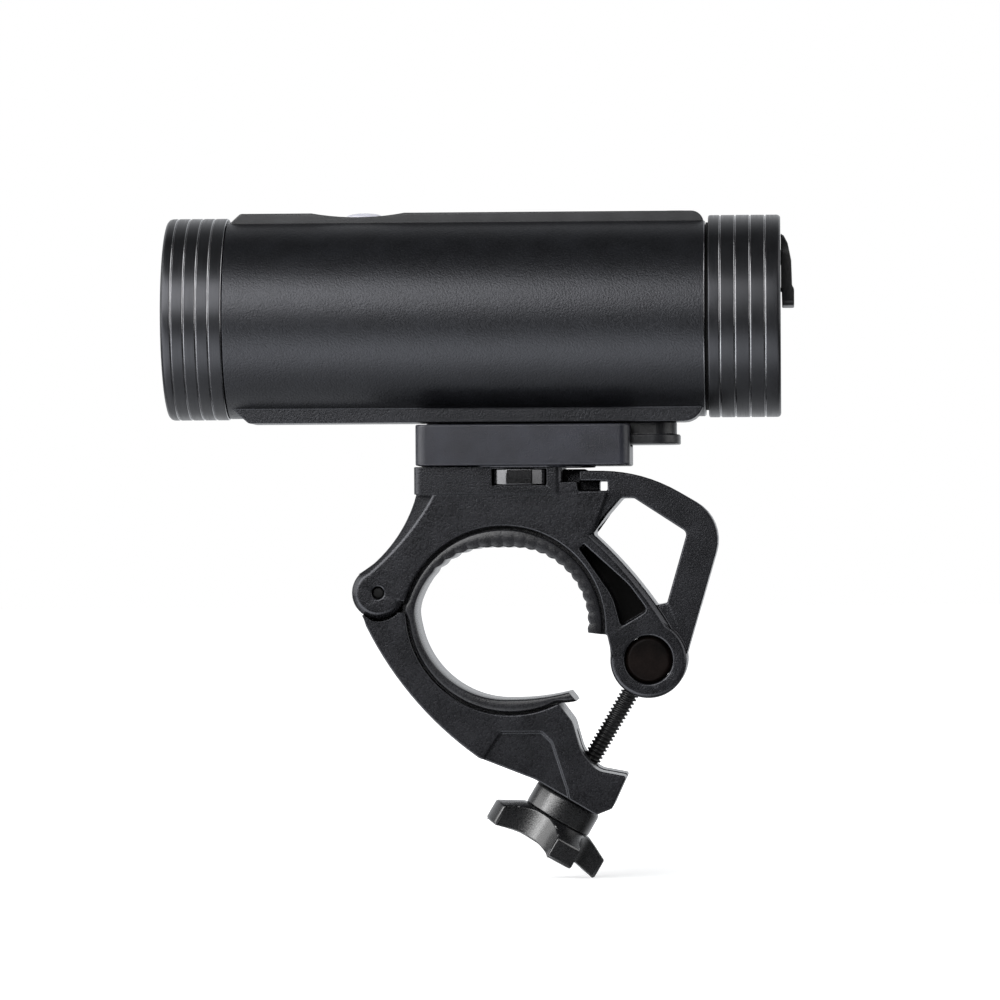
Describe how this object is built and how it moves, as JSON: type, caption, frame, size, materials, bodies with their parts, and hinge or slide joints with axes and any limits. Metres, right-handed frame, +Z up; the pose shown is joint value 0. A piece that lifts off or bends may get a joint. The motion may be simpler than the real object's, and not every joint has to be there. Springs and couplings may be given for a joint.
{
  "type": "bicycle headlight with handlebar clamp",
  "caption": "Cylindrical bicycle headlight with a push button on top, on a swivelling slide-in mount with a hinged handlebar clamp tightened by a star knob.",
  "frame": {"origin": "on the axis of the handlebar that the clamp holds, in the middle of the jaws' width", "axes": "+X to the rear of the light (the beam leaves towards -X), +Y along the handlebar, +Z up"},
  "size_m": [0.1054, 0.034, 0.1121],
  "materials": {
    "body_black": "satin black anodised",
    "ring_black": "satin black anodised, turned grooves",
    "strip_black": "satin moulded",
    "button_white": "translucent silicone",
    "cover_rubber": "matte",
    "seal_rubber": "matte",
    "lens_clear": "polished",
    "reflector_metal": "metallised",
    "lamp_board": "white solder mask",
    "lamp_yellow": "phosphor under a clear dome",
    "board_green": "solder mask",
    "cell_sleeve": "shrink sleeve over a metal can",
    "holder_grey": "moulded",
    "socket_steel": "plated",
    "switch_black": "moulded",
    "rail_black": "satin moulded",
    "screw_steel": "plated",
    "block_slate": "fine grain",
    "nut_black": "black oxide",
    "jaw_black": "fine grain, glass filled",
    "pad_rubber": "matte, ribbed",
    "pin_steel": "black",
    "barrel_black": "black oxide",
    "screw_black": "black oxide",
    "knob_black": "satin moulded"
  },
  "bodies": {
    "clamp": {"upper_jaw": "jaw_black", "upper_pad": "pad_rubber", "hinge_pin": "pin_steel", "pivot_nut": "nut_black"},
    "lower_clamp": {"lower_jaw": "jaw_black", "lower_pad": "pad_rubber"},
    "bolt": {"barrel_nut": "barrel_black"},
    "thrust": {"knob_collar": "knob_black"},
    "knob": {"clamp_screw": "screw_black", "clamp_knob": "knob_black"},
    "mount": {"receiver_block": "block_slate", "pivot_screw": "screw_steel", "pivot_washer": "screw_steel"},
    "light": {"body_tube": "body_black", "front_bezel": "ring_black", "front_seal": "seal_rubber", "lens": "lens_clear", "lens_gasket": "seal_rubber", "reflector": "reflector_metal", "led_board": "lamp_board", "led_emitter": "lamp_yellow", "driver_board": "board_green", "battery_cell": "cell_sleeve", "battery_holder": "holder_grey", "tail_cap": "ring_black", "tail_seal": "seal_rubber", "usb_socket": "socket_steel", "top_strip": "strip_black", "tact_switch": "switch_black", "rail": "rail_black", "rail_screws": "screw_steel"},
    "button": {"power_button": "button_white"},
    "cover": {"port_cover": "cover_rubber"}
  },
  "joints": [
    {"name": "jaw_hinge", "type": "hinge", "parent": "clamp", "child": "lower_clamp", "pos_m": [-0.0223, 0, 0.00525], "axis": [0, 1, 0], "range_deg": [-1.95, 7.72]},
    {"name": "bolt_swing", "type": "hinge", "parent": "clamp", "child": "bolt", "pos_m": [0.0228, 0, -0.0061], "axis": [0, 1, 0], "range_deg": [-1.95, 7.72]},
    {"name": "screw_travel", "type": "slide", "parent": "bolt", "child": "thrust", "axis": [-0.506, 0, -0.8625], "range_m": [-0.0015, 0.006]},
    {"name": "knob_turn", "type": "hinge", "parent": "thrust", "child": "knob", "pos_m": [0.0228, 0, -0.0061], "axis": [-0.506, 0, -0.8625], "range_deg": [-779.4, 3093.7]},
    {"name": "mount_swivel", "type": "hinge", "parent": "clamp", "child": "mount", "pos_m": [0.0014, 0, 0.0262], "axis": [0, 0, 1], "range_deg": [-30, 30]},
    {"name": "light_slide", "type": "slide", "parent": "mount", "child": "light", "axis": [1, 0, 0], "range_m": [0, 0.04]},
    {"name": "button_press", "type": "slide", "parent": "light", "child": "button", "axis": [0, 0, -1], "range_m": [0, 0.0006], "stiffness_N_per_m": 2000},
    {"name": "cover_lift", "type": "hinge", "parent": "light", "child": "cover", "pos_m": [0.04515, 0, 0.0652], "axis": [0, -1, 0], "range_deg": [0, 110], "stiffness_Nm_per_rad": 0.0005}
  ],
  "couplings": [
    {"joint": "knob_turn", "follows": "screw_travel", "rad_per_m": 8976},
    {"joint": "jaw_hinge", "follows": "screw_travel", "rad_per_m": 22.4},
    {"joint": "bolt_swing", "follows": "screw_travel", "rad_per_m": 22.4}
  ]
}
